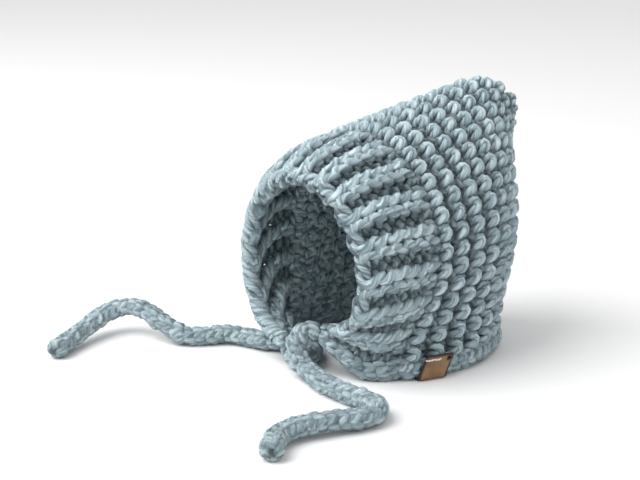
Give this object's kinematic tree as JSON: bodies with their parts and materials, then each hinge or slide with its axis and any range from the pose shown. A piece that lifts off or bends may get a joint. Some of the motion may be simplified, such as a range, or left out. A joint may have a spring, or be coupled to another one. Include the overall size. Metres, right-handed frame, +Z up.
{
  "type": "baby bonnet, hand-knitted pixie hood with neck ties",
  "caption": "Chunky hand-knitted pixie bonnet in blue-grey wool, with a ribbed face edge, a pointed back, two knitted ties and a leather label.",
  "frame": {"origin": "centre of the bonnet's own footprint, on the surface that its neck edge rests on", "axes": "+Z up, -Y the way the face opening looks, +X the label's side"},
  "size_m": [0.2424, 0.2909, 0.1591],
  "materials": {
    "wool": "matte",
    "leather": "satin"
  },
  "bodies": {
    "root": {"crown": "wool", "brim": "wool", "face_edge": "wool", "neckband": "wool", "tie_right": "wool", "tie_left": "wool", "label": "leather"}
  },
  "joints": []
}
